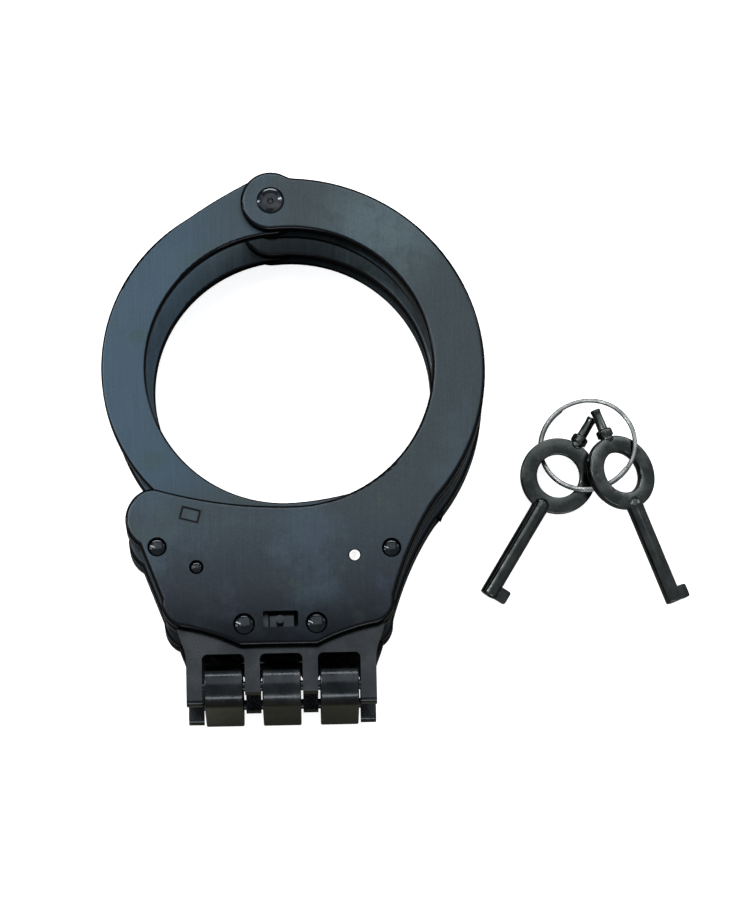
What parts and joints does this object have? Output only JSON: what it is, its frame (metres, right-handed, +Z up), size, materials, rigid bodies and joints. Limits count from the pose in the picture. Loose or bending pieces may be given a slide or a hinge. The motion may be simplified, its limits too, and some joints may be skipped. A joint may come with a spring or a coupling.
{
  "type": "hinged handcuffs",
  "caption": "Folded hinged double-lock handcuffs in blued steel: swinging toothed strands, cheek plates, rigid hinge links, and barrel keys on a split ring beside them.",
  "frame": {"origin": "centre of the lower wrist opening, on the face that the folded cuffs rest on", "axes": "+Z up through the folded stack, +Y from the hinge towards the strand pivots, +X along the hinge pins, towards the keys"},
  "size_m": [0.1288, 0.1186, 0.0318],
  "materials": {
    "blued_plate": "satin blued steel",
    "gloss_black": "glossy black oxide",
    "bright_steel": "bright bare steel",
    "key_steel": "dark gunmetal plating"
  },
  "bodies": {
    "lower_cuff": {"lower_outer_plate": "blued_plate", "lower_inner_plate": "blued_plate", "lower_core": "blued_plate", "lower_pivot_rivet": "gloss_black", "lower_housing_rivets": "gloss_black", "lower_pawl_pin": "gloss_black", "lower_pawl_spring": "bright_steel", "lower_key_post": "bright_steel", "lower_guide_tab": "blued_plate", "lower_lock_bar_spring": "bright_steel", "lower_hinge_pin": "gloss_black"},
    "lower_strand": {"lower_strand": "blued_plate"},
    "lower_pawl": {"lower_pawl": "gloss_black"},
    "lower_lock_bar": {"lower_lock_bar": "gloss_black"},
    "upper_cuff": {"upper_outer_plate": "blued_plate", "upper_inner_plate": "blued_plate", "upper_core": "blued_plate", "upper_pivot_rivet": "gloss_black", "upper_housing_rivets": "gloss_black", "upper_pawl_pin": "gloss_black", "upper_pawl_spring": "bright_steel", "upper_key_post": "bright_steel", "upper_guide_tab": "blued_plate", "upper_lock_bar_spring": "bright_steel", "upper_hinge_pin": "gloss_black"},
    "upper_strand": {"upper_strand": "blued_plate"},
    "upper_pawl": {"upper_pawl": "gloss_black"},
    "upper_lock_bar": {"upper_lock_bar": "gloss_black"},
    "hinge_links": {"left_hinge_link": "gloss_black", "middle_hinge_link": "gloss_black", "right_hinge_link": "gloss_black"},
    "split_ring": {"split_ring": "bright_steel"},
    "left_key": {"left_key": "key_steel"},
    "right_key": {"right_key": "key_steel"}
  },
  "joints": [
    {"name": "link_fold", "type": "hinge", "parent": "lower_cuff", "child": "hinge_links", "pos_m": [-0.0018, -0.0695, 0.00465], "axis": [1, 0, 0], "range_deg": [0, 180]},
    {"name": "upper_cuff_fold", "type": "hinge", "parent": "hinge_links", "child": "upper_cuff", "pos_m": [-0.0018, -0.0695, 0.02715], "axis": [1, 0, 0], "range_deg": [0, 180]},
    {"name": "lower_strand_swing", "type": "hinge", "parent": "lower_cuff", "child": "lower_strand", "pos_m": [-0.0023, 0.0376, 0.00465], "axis": [0, 0, 1], "continuous": true},
    {"name": "lower_pawl_tilt", "type": "hinge", "parent": "lower_cuff", "child": "lower_pawl", "pos_m": [-0.0197, -0.044, 0.00465], "axis": [0, 0, -1], "range_deg": [-7, 0]},
    {"name": "lower_lock_bar_slide", "type": "slide", "parent": "lower_cuff", "child": "lower_lock_bar", "axis": [1, 0, 0], "range_m": [0, 0.0024]},
    {"name": "upper_strand_swing", "type": "hinge", "parent": "upper_cuff", "child": "upper_strand", "pos_m": [-0.0023, 0.0376, 0.02715], "axis": [0, 0, 1], "continuous": true},
    {"name": "upper_pawl_tilt", "type": "hinge", "parent": "upper_cuff", "child": "upper_pawl", "pos_m": [-0.0197, -0.044, 0.02715], "axis": [0, 0, -1], "range_deg": [-7, 0]},
    {"name": "upper_lock_bar_slide", "type": "slide", "parent": "upper_cuff", "child": "upper_lock_bar", "axis": [1, 0, 0], "range_m": [0, 0.0024]},
    {"name": "key_set_lift", "type": "slide", "parent": "lower_cuff", "child": "split_ring", "axis": [0, 0, 1], "range_m": [0, 0.08]},
    {"name": "left_key_swing", "type": "hinge", "parent": "split_ring", "child": "left_key", "pos_m": [0.067, -0.0122, 0.0032], "axis": [-0.1591, 0.1591, 0.9744], "range_deg": [0, 12]},
    {"name": "right_key_swing", "type": "hinge", "parent": "split_ring", "child": "right_key", "pos_m": [0.067, -0.0122, 0.0032], "axis": [-0.1591, 0.1591, 0.9744], "range_deg": [0, 12]}
  ]
}
